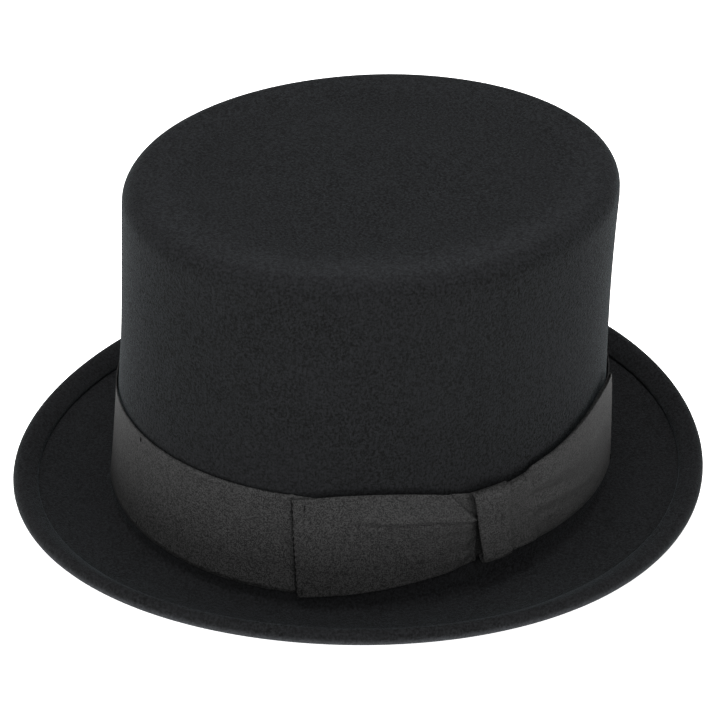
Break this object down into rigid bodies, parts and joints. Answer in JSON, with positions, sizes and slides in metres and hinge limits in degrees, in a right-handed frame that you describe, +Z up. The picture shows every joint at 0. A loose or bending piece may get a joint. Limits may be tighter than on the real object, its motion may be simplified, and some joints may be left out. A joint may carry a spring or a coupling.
{
  "type": "top hat",
  "caption": "Felt top hat with a flared flat-topped crown, a curled welt-edged brim, a ribbon band with a flat side bow, a sweatband and a satin lining.",
  "frame": {"origin": "under the middle of the brim, level with the lowest point of the felt", "axes": "+Z up through the crown, the wearer faces -Y, +X is the wearer's left, where the bow is"},
  "size_m": [0.2518, 0.2836, 0.1447],
  "materials": {
    "wool_felt": "short-napped wool felt",
    "ribbon": "ribbed grosgrain with a low sheen",
    "thread": "spun sewing thread",
    "sweatband_leather": "smooth grained leather",
    "reed": "matt moulded cord",
    "cotton_tape": "plain-woven cotton",
    "narrow_ribbon": "narrow ribbed ribbon",
    "tag_cloth": "blank woven label",
    "satin": "glossy satin"
  },
  "bodies": {
    "root": {"felt_body": "wool_felt", "welt_stitching": "thread", "hat_band": "ribbon", "band_tacks": "thread", "bow_front_wing": "ribbon", "bow_back_wing": "ribbon", "bow_knot_wrap": "ribbon", "bow_tacks": "thread", "sweatband": "sweatband_leather", "sweatband_reed": "reed", "reed_tape": "cotton_tape", "sweatband_stitching": "thread", "sweatband_seam": "thread", "sweatband_bow": "narrow_ribbon", "size_tag": "tag_cloth", "lining_side": "satin", "lining_tip": "satin", "lining_piping": "satin", "lining_tacks": "thread"}
  },
  "joints": []
}
